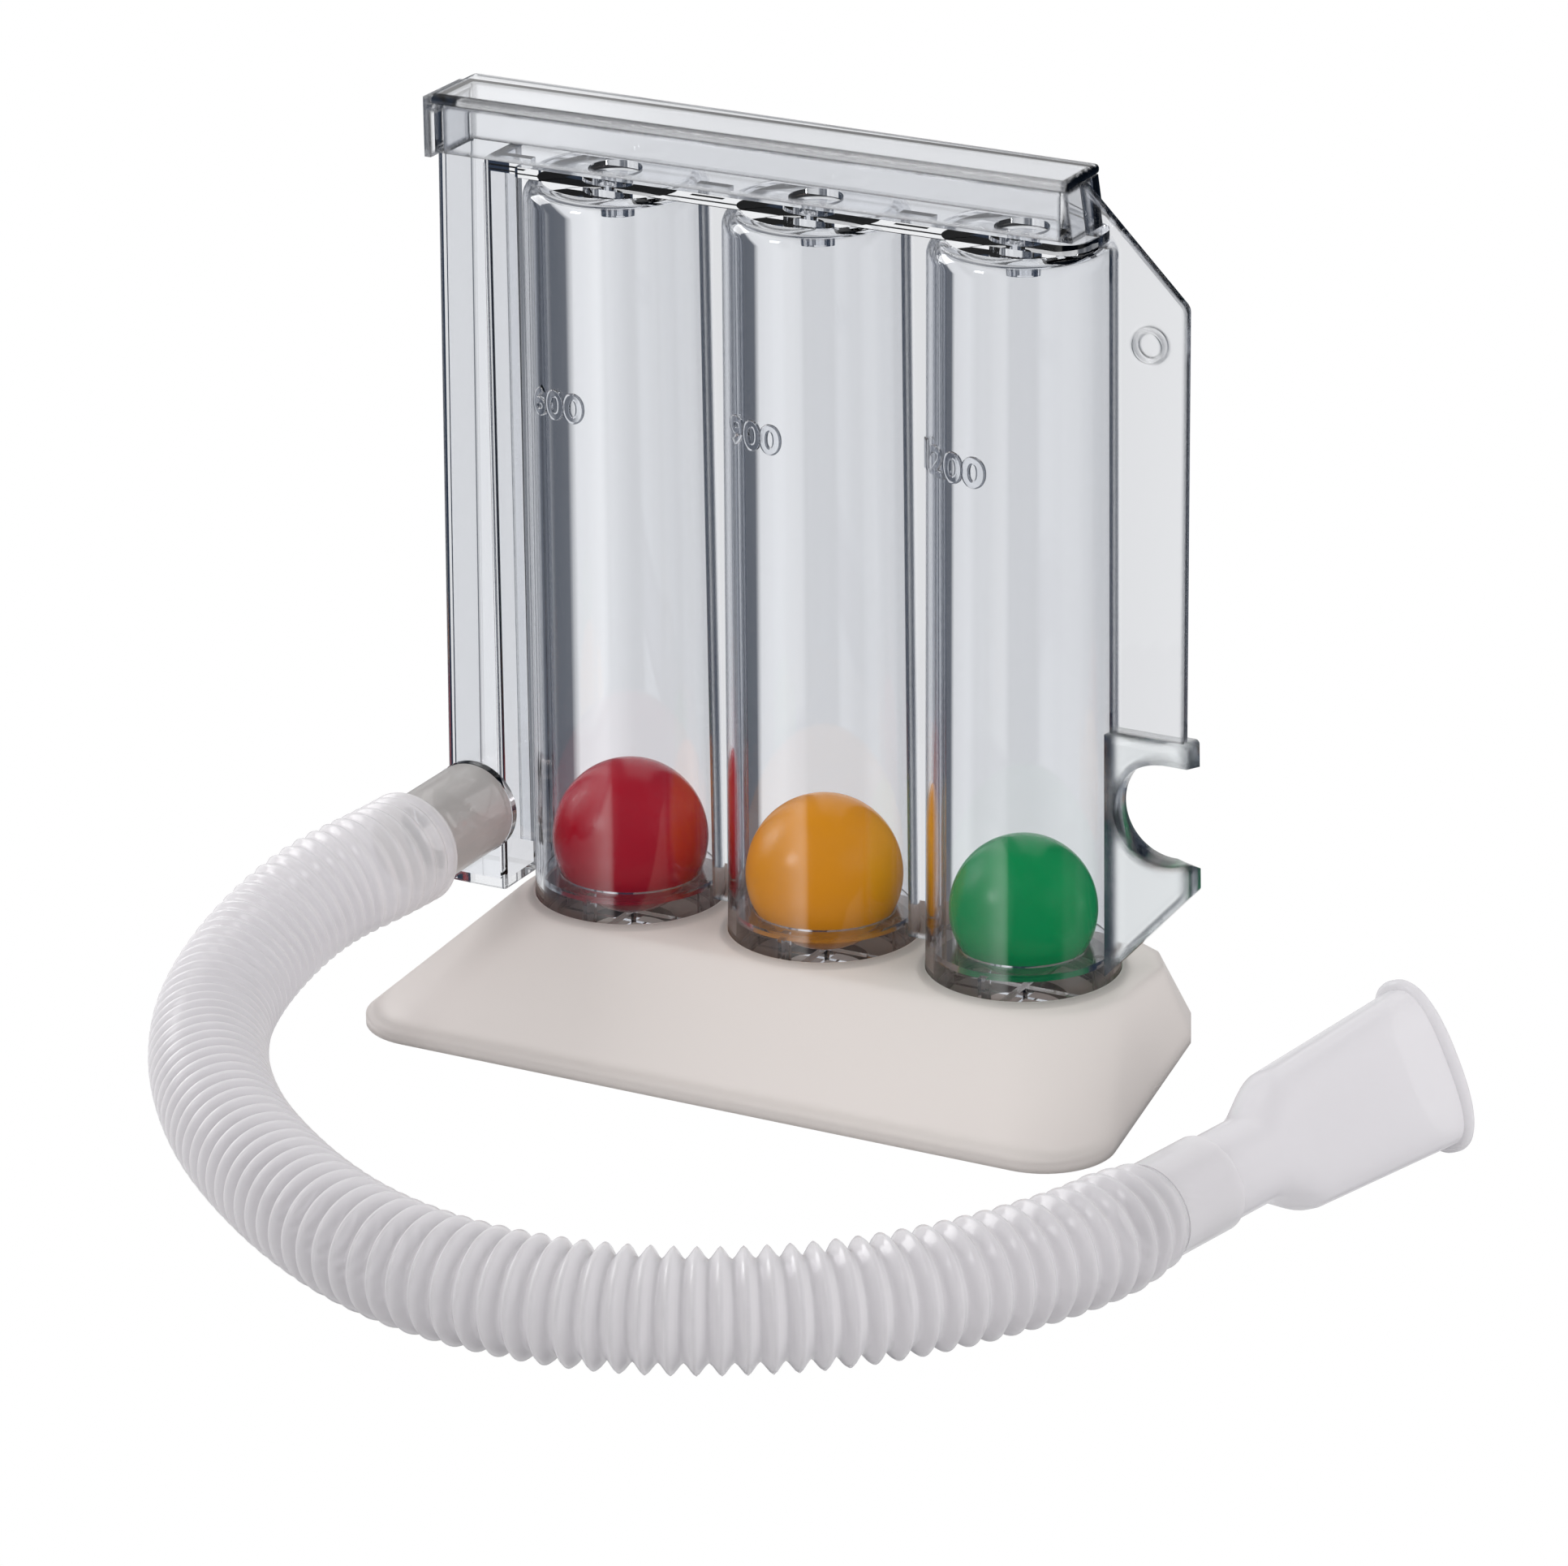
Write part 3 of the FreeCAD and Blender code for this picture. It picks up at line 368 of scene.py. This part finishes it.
def chamber(mark):
    """Drafted tube, rounded shoulder, roof and nozzle, as one turned wall. Where the roof is one with the
    manifold's floor there is no skin between the two."""
    inner, inner_top = TUBE_RADIUS - TUBE_WALL, TUBE_TOP_RADIUS - TUBE_WALL
    under = TUBE_HIGH - ROOF
    hole = NOZZLE_HOLE[mark]
    tip = under - NOZZLE_DROP
    small = SHOULDER - TUBE_WALL
    profile = [(WELL_RADIUS, TUBE_HIGH), (hole, TUBE_HIGH), (hole, tip)]
    profile += [(NOZZLE_RADIUS, tip), (NOZZLE_RADIUS, under)]
    profile += arc((inner_top - small, under - small), small, 90, 0, 7)
    profile += [(inner, TUBE_LOW), (TUBE_RADIUS, TUBE_LOW)]
    profile += arc((TUBE_TOP_RADIUS - SHOULDER, TUBE_HIGH - SHOULDER), SHOULDER, 0, 90, 9)
    centre = (CHAMBER_X[mark], CHAMBER_Y)
    piece = lathe("chamber_wall_" + mark, profile, centre, steps=TUBE_STEPS, closed=False)
    crisp(piece, 40)
    return finish_piece(piece, CLEAR, "stand", "clear_plastic", "chamber_" + mark)


def ring_of_points(x, y, z, radius, steps):
    """Level circle, with its points where the lathe puts them."""
    return [Vector((x + radius * math.cos(t), y + radius * math.sin(t), z))
            for t in np.linspace(0, 2 * np.pi, steps, endpoint=False)]


def manifold_floor():
    """Slab over the chambers, with a round well over each nozzle. It is open below where it is one with the
    roofs."""
    outline = [(SLAB_LEFT, CHAMBER_Y - SLAB_NARROW), (SLAB_STEP, CHAMBER_Y - SLAB_NARROW),
               (SLAB_STEP, CHAMBER_Y - SLAB_WIDE)]
    inward = SLAB_WIDE - SLAB_CORNER
    for middle_y, low, high in ((CHAMBER_Y - inward, -90, 0), (CHAMBER_Y + inward, 0, 90)):
        outline += arc((SLAB_RIGHT - SLAB_CORNER, middle_y), SLAB_CORNER, low, high, 9)
    outline += [(SLAB_STEP, CHAMBER_Y + SLAB_WIDE), (SLAB_STEP, CHAMBER_Y + SLAB_NARROW),
                (SLAB_LEFT, CHAMBER_Y + SLAB_NARROW)]
    points = []
    faces = []
    rims = {}
    for z, radius, way in ((FLOOR_HIGH, WELL_RADIUS, 1), (TUBE_HIGH, TUBE_TOP_RADIUS - SHOULDER, -1)):
        loops = [[Vector((x, y, z)) for x, y in outline]]
        loops += [ring_of_points(x, CHAMBER_Y, z, radius, TUBE_STEPS) for x in CHAMBER_X.values()]
        first = len(points)
        rims[z] = first
        points += [p for loop in loops for p in loop]
        for a, b, c in tessellate_polygon(loops):
            up = (points[first + b] - points[first + a]).cross(points[first + c] - points[first + a]).z
            faces.append((first + a, first + b, first + c)[::1 if up * way > 0 else -1])
    count = len(outline)
    for i in range(count):
        k = (i + 1) % count
        low, high = rims[TUBE_HIGH], rims[FLOOR_HIGH]
        faces.append((low + i, low + k, high + k, high + i))
    for turn, x in enumerate(CHAMBER_X.values()):
        high = rims[FLOOR_HIGH] + count + turn * TUBE_STEPS
        low = len(points)
        points += ring_of_points(x, CHAMBER_Y, TUBE_HIGH, WELL_RADIUS, TUBE_STEPS)
        for i in range(TUBE_STEPS):
            k = (i + 1) % TUBE_STEPS
            faces.append((low + k, low + i, high + i, high + k))
    piece = build_mesh("floor_slab", points, faces)
    crisp(piece, 40)
    return finish_piece(piece, CLEAR, "stand", "clear_plastic", "manifold_floor")


def flow_mark(mark):
    """Plain raised digits that follow the tube: x becomes the turn about its axis, y the height."""
    curve = bpy.data.curves.new("mark_" + mark, "FONT")
    curve.body = mark
    curve.extrude = MARK_EXTRUDE
    curve.bevel_depth = MARK_BEVEL
    curve.offset = MARK_SWELL
    curve.align_x = "RIGHT"
    holder = bpy.data.objects.new("mark_" + mark, curve)
    bpy.context.collection.objects.link(holder)
    bpy.context.view_layer.update()
    data = bpy.data.meshes.new_from_object(holder)
    bpy.data.objects.remove(holder)
    shape = bmesh.new()
    shape.from_mesh(data)
    low = [min(v.co[k] for v in shape.verts) for k in range(3)]
    high = [max(v.co[k] for v in shape.verts) for k in range(3)]
    for cut in np.arange(low[0], high[0], MARK_SLICE):
        everything = shape.verts[:] + shape.edges[:] + shape.faces[:]
        bmesh.ops.bisect_plane(shape, geom=everything, plane_co=(cut, 0, 0), plane_no=(1, 0, 0))
    digit = (high[0] - low[0]) / (len(mark) - MARK_GAP)
    half_digit = MARK_PITCH * (1 - MARK_GAP) / 2
    radius = TUBE_RADIUS - (TUBE_RADIUS - TUBE_TOP_RADIUS) * (MARK_LOW - TUBE_LOW) / (TUBE_HIGH - TUBE_LOW)
    for v in shape.verts:
        turn = math.radians(MARK_TURN[mark] + half_digit + (v.co.x - high[0]) / digit * MARK_PITCH)
        height = (v.co.y - low[1]) / (high[1] - low[1])
        reach = radius + (v.co.z - low[2]) / (high[2] - low[2]) * MARK_RELIEF
        v.co = (CHAMBER_X[mark] + reach * math.cos(turn), CHAMBER_Y + reach * math.sin(turn),
                MARK_LOW + height * MARK_HEIGHT)
    bmesh.ops.triangulate(shape, faces=shape.faces[:])
    shape.to_mesh(data)
    shape.free()
    piece = bpy.data.objects.new("flow_mark_" + mark, data)
    bpy.context.collection.objects.link(piece)
    crisp(piece, 30)
    return finish_piece(piece, CLEAR, "stand", "clear_plastic")


def crisp(piece, degrees):
    """Keeps edges sharper than an angle crisp, and the rest smooth."""
    piece.data.set_sharp_from_angle(angle=math.radians(degrees))


def ball(mark):
    """Ball with the fine welded seam of its two halves: the radius dips by a bell curve at the equator."""
    node = BALLS[mark]
    low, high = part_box(node)
    centre = (low + high) / 2
    radius = (high.z - low.z) / 2
    steps, rows = BALL_STEPS, BALL_ROWS
    angles = np.linspace(0.5, rows - 0.5, rows) * np.pi / rows
    about_y, about_x = (math.radians(a) for a in SEAM_TILT)
    tilt = Matrix.Rotation(about_y, 4, "Y") @ Matrix.Rotation(about_x, 4, "X")
    turns = np.linspace(0, 2 * np.pi, steps, endpoint=False)
    points = [Vector((0, 0, radius))]
    for a in angles:
        seam = 1 - SEAM_DEPTH * math.exp(-((a - np.pi / 2) / SEAM_WIDTH) ** 2)
        for t in turns:
            ring = radius * seam * math.sin(a)
            points.append(Vector((ring * math.cos(t), ring * math.sin(t), radius * seam * math.cos(a))))
    points.append(Vector((0, 0, -radius)))
    faces = []
    for i in range(rows - 1):
        a, b = 1 + i * steps, 1 + (i + 1) * steps
        for j in range(steps):
            k = (j + 1) % steps
            faces.append((a + j, b + j, b + k, a + k))
    last = 1 + (rows - 1) * steps
    for j in range(steps):
        k = (j + 1) % steps
        faces.append((0, 1 + j, 1 + k))
        faces.append((last + j, len(points) - 1, last + k))
    piece = build_mesh("ball_skin_" + mark, [centre + tilt @ p for p in points], faces)
    return finish_piece(piece, BALL_LOOKS[mark], node.replace("ball_", "") + "_ball", node, node)


def spline_points(route, name):
    """The smooth line that a NURBS spline draws with the route as its control points."""
    curve = bpy.data.curves.new(name, "CURVE")
    curve.dimensions = "3D"
    curve.resolution_u = 24
    spline = curve.splines.new("NURBS")
    spline.points.add(len(route) - 1)
    for point, place in zip(spline.points, route):
        point.co = (*place, 1.0)
    spline.order_u = 3
    spline.use_endpoint_u = True
    holder = bpy.data.objects.new(name, curve)
    bpy.context.collection.objects.link(holder)
    bpy.context.view_layer.update()
    line = bpy.data.meshes.new_from_object(holder)
    points = [v.co.copy() for v in line.vertices]
    bpy.data.objects.remove(holder)
    bpy.data.meshes.remove(line)
    return points


def along(points, distances):
    """Points at given distances along a line, with their directions."""
    places = np.array(points)
    steps = np.linalg.norm(np.diff(places, axis=0), axis=1)
    total = np.concatenate([[0], np.cumsum(steps)])

    def at(wanted):
        return np.stack([np.interp(wanted, total, places[:, k]) for k in range(3)], axis=1)

    found = at(distances)
    direction = at(distances + 0.4 * MM) - at(distances - 0.4 * MM)
    direction /= np.linalg.norm(direction, axis=1, keepdims=True)
    return found, direction


def corrugation(length, rows_per_ring=8):
    """Distances along the hose and the outer wall's radius there: a wave between root and crest, whose pitch
    and height grow from the inlet on."""
    distances = np.linspace(0, length, 2000)
    change = np.clip((distances - RING_CHANGE[0]) / (RING_CHANGE[1] - RING_CHANGE[0]), 0, 1)
    change = change * change * (3 - 2 * change)
    pitch = RING_PITCH[0] + (RING_PITCH[1] - RING_PITCH[0]) * change
    count = np.concatenate([[0], np.cumsum(np.diff(distances) / pitch[1:])])
    rings = round(count[-1])
    turn = np.linspace(0, rings, rings * rows_per_ring + 1)
    found = np.interp(turn * count[-1] / rings, count, distances)
    height = RING_HEIGHT[0] + (RING_HEIGHT[1] - RING_HEIGHT[0]) * np.interp(found, distances, change)
    soft = 0.5 - 0.5 * np.cos(2 * np.pi * turn)
    pointed = 1 - np.abs(2 * (turn % 1) - 1)
    to_mouth = np.clip((length - found) / NARROW_LENGTH, 0, 1)
    crest = CUFF_RADIUS + CUFF_STEP + (HOSE_CREST - CUFF_RADIUS - CUFF_STEP) * to_mouth
    root = np.maximum(crest - height, CUFF_RADIUS - 0.2 * MM)
    return found, root + (crest - root) * (0.55 * soft + 0.45 * pointed)


def hose():
    """Ringed tube along the spline: each ring of points stands square to the line, at the corrugation's
    radius."""
    line = spline_points(HOSE_ROUTE, "hose_line")
    length = sum((b - a).length for a, b in zip(line, line[1:]))
    distances, radii = corrugation(length)
    rows = len(distances)
    places, directions = along(line, distances)
    from_end = np.minimum(distances, length - distances)
    inside = np.where(from_end < END_WALL, CUFF_RADIUS - 0.8 * MM, radii - HOSE_WALL)
    turns = np.linspace(0, 2 * np.pi, HOSE_STEPS, endpoint=False)
    up = np.tile([0.0, 0.0, 1.0], (rows, 1))
    side = np.cross(directions, up)
    side /= np.linalg.norm(side, axis=1, keepdims=True)
    up = np.cross(side, directions)
    round_about = np.cos(turns)[None, :, None] * side[:, None, :]
    round_about = round_about + np.sin(turns)[None, :, None] * up[:, None, :]
    outer = places[:, None, :] + radii[:, None, None] * round_about
    inner = places[:, None, :] + inside[:, None, None] * round_about
    points = np.concatenate([outer.reshape(-1, 3), inner[::-1].reshape(-1, 3)])
    piece = build_mesh("hose_wall", points, grid_faces(rows * 2, HOSE_STEPS, wrap_rows=True))
    finish_piece(piece, HOSE, "stand", "hose_plastic", "hose_tube")
    return piece, line, length


def mouth_half_sizes(distance, inset):
    """Half width, half thickness and squareness of the mouthpiece at a distance along it: a round neck that
    swells smoothly into a flat body, which then widens and thins evenly towards the lip."""
    neck = MOUTH_BORE if inset else MOUTH_NECK
    wide, thick = (half - inset for half in MOUTH_BODY_HALVES)
    end_wide, end_thick = (half - inset for half in MOUTH_END_HALVES)
    swell = min(max((distance - MOUTH_NECK_END) / MOUTH_BELL, 0), 1)
    swell = swell * swell * (3 - 2 * swell)
    reach = min(max((distance - MOUTH_NECK_END - MOUTH_BELL) / MOUTH_BODY, 0), 1)
    half_wide = neck + (wide - neck) * swell + (end_wide - wide) * reach
    half_thick = neck + (thick - neck) * swell + (end_thick - thick) * reach
    return half_wide, half_thick, 2.0 + 0.8 * swell


def mouth_ring(distance, half_wide, half_thick, squareness, steps=96):
    """Ring |x/a|^n + |y/b|^n = 1 square to the mouthpiece's axis."""
    side = MOUTH_AXIS.cross(Vector((0, 0, 1))).normalized()
    up = side.cross(MOUTH_AXIS).normalized()
    wide = up * math.cos(MOUTH_ROLL) - side * math.sin(MOUTH_ROLL)
    thin = MOUTH_AXIS.cross(wide)
    middle = Vector(HOSE_ROUTE[-1]) + MOUTH_AXIS * distance
    ring = []
    for turn in np.linspace(0, 2 * np.pi, steps, endpoint=False):
        c, s = math.cos(turn), math.sin(turn)
        x = math.copysign(abs(c) ** (2 / squareness), c) * half_wide
        y = math.copysign(abs(s) ** (2 / squareness), s) * half_thick
        ring.append(middle + wide * x + thin * y)
    return ring


def mouthpiece():
    """Thin shell from neck to lip flange: outer wall, rounded flange, then the inner wall back again."""
    rings = []
    for distance in np.linspace(MOUTH_START, MOUTH_LIP, 66):
        rings.append(mouth_ring(distance, *mouth_half_sizes(distance, 0.0)))
    rim_wide, rim_thick = MOUTH_RIM_HALVES
    rim_round = MOUTH_FLANGE / 2
    for turn in np.linspace(-90, 90, 9):
        out = math.cos(math.radians(turn)) * rim_round
        distance = MOUTH_LIP + rim_round + math.sin(math.radians(turn)) * rim_round
        rings.append(mouth_ring(distance, rim_wide - rim_round + out, rim_thick - rim_round + out, 2.4))
    for distance in np.linspace(MOUTH_LIP + MOUTH_FLANGE, MOUTH_START, 68):
        rings.append(mouth_ring(distance, *mouth_half_sizes(distance, MOUTH_WALL)))
    points = [p for ring in rings for p in ring]
    piece = build_mesh("mouthpiece_shell", points, grid_faces(len(rings), len(rings[0]), wrap_rows=True))
    crisp(piece, 50)
    return finish_piece(piece, MOUTH, "mouth_end", "mouthpiece_plastic", "mouthpiece")


def camera():
    """Camera where the photographer's stood."""
    azimuth, elevation = CAMERA_AZIMUTH, CAMERA_ELEVATION
    back = Vector((math.sin(azimuth) * math.cos(elevation), -math.cos(azimuth) * math.cos(elevation),
                   math.sin(elevation)))
    right = Vector((math.cos(azimuth), math.sin(azimuth), 0))
    up = back.cross(right)
    place = AIM + right * AIM_RIGHT + up * AIM_UP + back * CAMERA_DISTANCE
    turned_right = right * math.cos(CAMERA_ROLL) + up * math.sin(CAMERA_ROLL)
    turned_up = up * math.cos(CAMERA_ROLL) - right * math.sin(CAMERA_ROLL)
    data = bpy.data.cameras.new("camera")
    data.sensor_width = 36
    data.lens = FOCAL_PIXELS / PHOTO_WIDTH * data.sensor_width
    data.clip_end = 20
    stand = bpy.data.objects.new("camera", data)
    bpy.context.collection.objects.link(stand)
    turned = Matrix((turned_right, turned_up, back)).transposed().to_4x4()
    stand.matrix_world = Matrix.Translation(place) @ turned
    bpy.context.scene.camera = stand


def cold(grey):
    """Grey that turns to slate where it is dark."""
    blue = 0.012 * (1 - grey)
    return (grey - blue, grey, grey + 2 * blue, 1)


def ramp(nodes, stops):
    """Colour ramp from a list of (position, grey)."""
    made = nodes.new("ShaderNodeValToRGB")
    elements = made.color_ramp.elements
    while len(elements) > 1:
        elements.remove(elements[-1])
    elements[0].position, grey = stops[0]
    elements[0].color = cold(grey)
    for position, grey in stops[1:]:
        elements.new(position).color = cold(grey)
    return made


def studio():
    """World that rides with the camera: white to the eye. Clear plastic shows and mirrors what stands there,
    a lit panel between dark cards behind the object, and a dark room with a soft strip of light behind the
    camera."""
    world = bpy.data.worlds.new("studio")
    bpy.context.scene.world = world
    world.use_nodes = True
    nodes, link = world.node_tree.nodes, world.node_tree.links.new
    nodes.clear()
    output = nodes.new("ShaderNodeOutputWorld")
    place = nodes.new("ShaderNodeTexCoord")
    turn = nodes.new("ShaderNodeVectorTransform")
    turn.vector_type = "VECTOR"
    turn.convert_from = "WORLD"
    turn.convert_to = "CAMERA"
    split = nodes.new("ShaderNodeSeparateXYZ")
    link(place.outputs["Generated"], turn.inputs[0])
    link(turn.outputs[0], split.inputs[0])
    sideways = nodes.new("ShaderNodeMapRange")
    sideways.inputs["From Min"].default_value = -1.0
    sideways.inputs["From Max"].default_value = 1.0
    link(split.outputs["X"], sideways.inputs["Value"])
    behind = ramp(nodes, ROOM_BEHIND)
    before = ramp(nodes, ROOM_BEFORE)
    link(sideways.outputs[0], behind.inputs["Fac"])
    link(sideways.outputs[0], before.inputs["Fac"])
    depth = nodes.new("ShaderNodeMapRange")
    depth.inputs["From Min"].default_value = -0.1
    depth.inputs["From Max"].default_value = 0.1
    link(split.outputs["Z"], depth.inputs["Value"])
    around = nodes.new("ShaderNodeMix")
    around.data_type = "RGBA"
    link(depth.outputs[0], around.inputs["Factor"])
    link(before.outputs["Color"], around.inputs["A"])
    link(behind.outputs["Color"], around.inputs["B"])
    path = nodes.new("ShaderNodeLightPath")
    seen = nodes.new("ShaderNodeBackground")
    seen.inputs["Color"].default_value = WHITE
    room = nodes.new("ShaderNodeBackground")
    rest = nodes.new("ShaderNodeBackground")
    rest.inputs["Color"].default_value = WHITE
    rest.inputs["Strength"].default_value = ROOM_REST
    link(around.outputs["Result"], room.inputs["Color"])
    last = rest
    for light, ray in ((room, "Is Glossy Ray"), (room, "Is Transmission Ray"), (seen, "Is Camera Ray")):
        mix = nodes.new("ShaderNodeMixShader")
        link(path.outputs[ray], mix.inputs["Fac"])
        link(last.outputs[0], mix.inputs[1])
        link(light.outputs[0], mix.inputs[2])
        last = mix
    link(last.outputs[0], output.inputs["Surface"])


def lamp(name, place, aim, size, power, shiny=False):
    """Soft square light; only a shiny one leaves a spot on what is glossy."""
    data = bpy.data.lights.new(name, "AREA")
    data.size = size
    data.energy = power
    stand = bpy.data.objects.new(name, data)
    bpy.context.collection.objects.link(stand)
    stand.location = place
    stand.rotation_euler = (Vector(aim) - Vector(place)).to_track_quat("-Z", "Y").to_euler()
    stand.visible_glossy = shiny
    stand.visible_transmission = False


def painted_shade_under_foot():
    """Patch of table below the foot with its shade painted in as a faint brown glow, which only the clear
    pieces show and mirror.
    """
    made, nodes, link, output = new_material("painted_shade_table_look")
    # Painted shade: a dim brown emission stands in for the table in the foot's shadow
    shader = nodes.new("ShaderNodeEmission")
    shader.inputs["Color"].default_value = (0.2, 0.17, 0.155, 1)
    link(shader.outputs[0], output.inputs["Surface"])
    low, high = -0.3 * MM, 35 * MM
    piece = build_mesh("painted_shade_under_foot", [(-0.060, -high, low), (0.058, -high, low), (0.058, high, low),
                                            (-0.060, high, low)], [(0, 1, 2, 3)], smooth=False)
    piece.data.materials.append(made)
    piece.visible_camera = False


def floor():
    """Pale floor that bounces light; the eye sees the white studio in its place."""
    half = 1.5
    made, nodes, link, output = new_material("floor_look")
    shader = principled(nodes, Base_Color=(0.8, 0.8, 0.8, 1), Roughness=0.8)
    link(shader.outputs[0], output.inputs["Surface"])
    piece = build_mesh("floor", [(-half, -half, 0), (half, -half, 0), (half, half, 0), (-half, half, 0)],
                       [(0, 1, 2, 3)], smooth=False)
    piece.data.materials.append(made)
    piece.visible_camera = False
    piece.visible_glossy = False
    piece.visible_transmission = False


for look, nodes in (
    (CLEAR, ("intake_column", "intake_port", "intake_web",
             "ball_seat_600", "ball_seat_900", "ball_seat_1200")),
    (CLEAR_MOULDED, ("web_left", "web_right", "manifold_walls", "manifold_lid", "holder_wing")),
    (CLEAR_THICK, ("mouthpiece_clip",)),
    (BASE, ("base_plate",)),
    (CUFF, ("inlet_cuff",)),
    (HOSE, ("outlet_cuff",)),
):
    for node in nodes:
        dress(node, look)
for mark in CHAMBER_X:
    chamber(mark)
    flow_mark(mark)
    ball(mark)
manifold_floor()
hose_piece, hose_line, hose_length = hose()
mouth_piece = mouthpiece()

camera()
studio()
floor()
painted_shade_under_foot()
lamp("key", (-0.44, -0.85, 0.56), (0, 0, 0.03), 0.22, 1.5, shiny=True)
lamp("side", (-1.0, 0.0, 0.5), (0, 0, 0.05), 0.5, 5.5, shiny=True)
lamp("fill", (0.9, -0.2, 0.5), (0, 0, 0.05), 0.6, 3.8)

scene = bpy.context.scene
scene.view_settings.view_transform = "Standard"
scene.cycles.max_bounces = 24
scene.cycles.transmission_bounces = 20
scene.cycles.transparent_max_bounces = 24
scene.cycles.glossy_bounces = 6
scene.cycles.diffuse_bounces = 3
scene.cycles.caustics_reflective = False
scene.cycles.caustics_refractive = False
scene.cycles.use_denoising = True
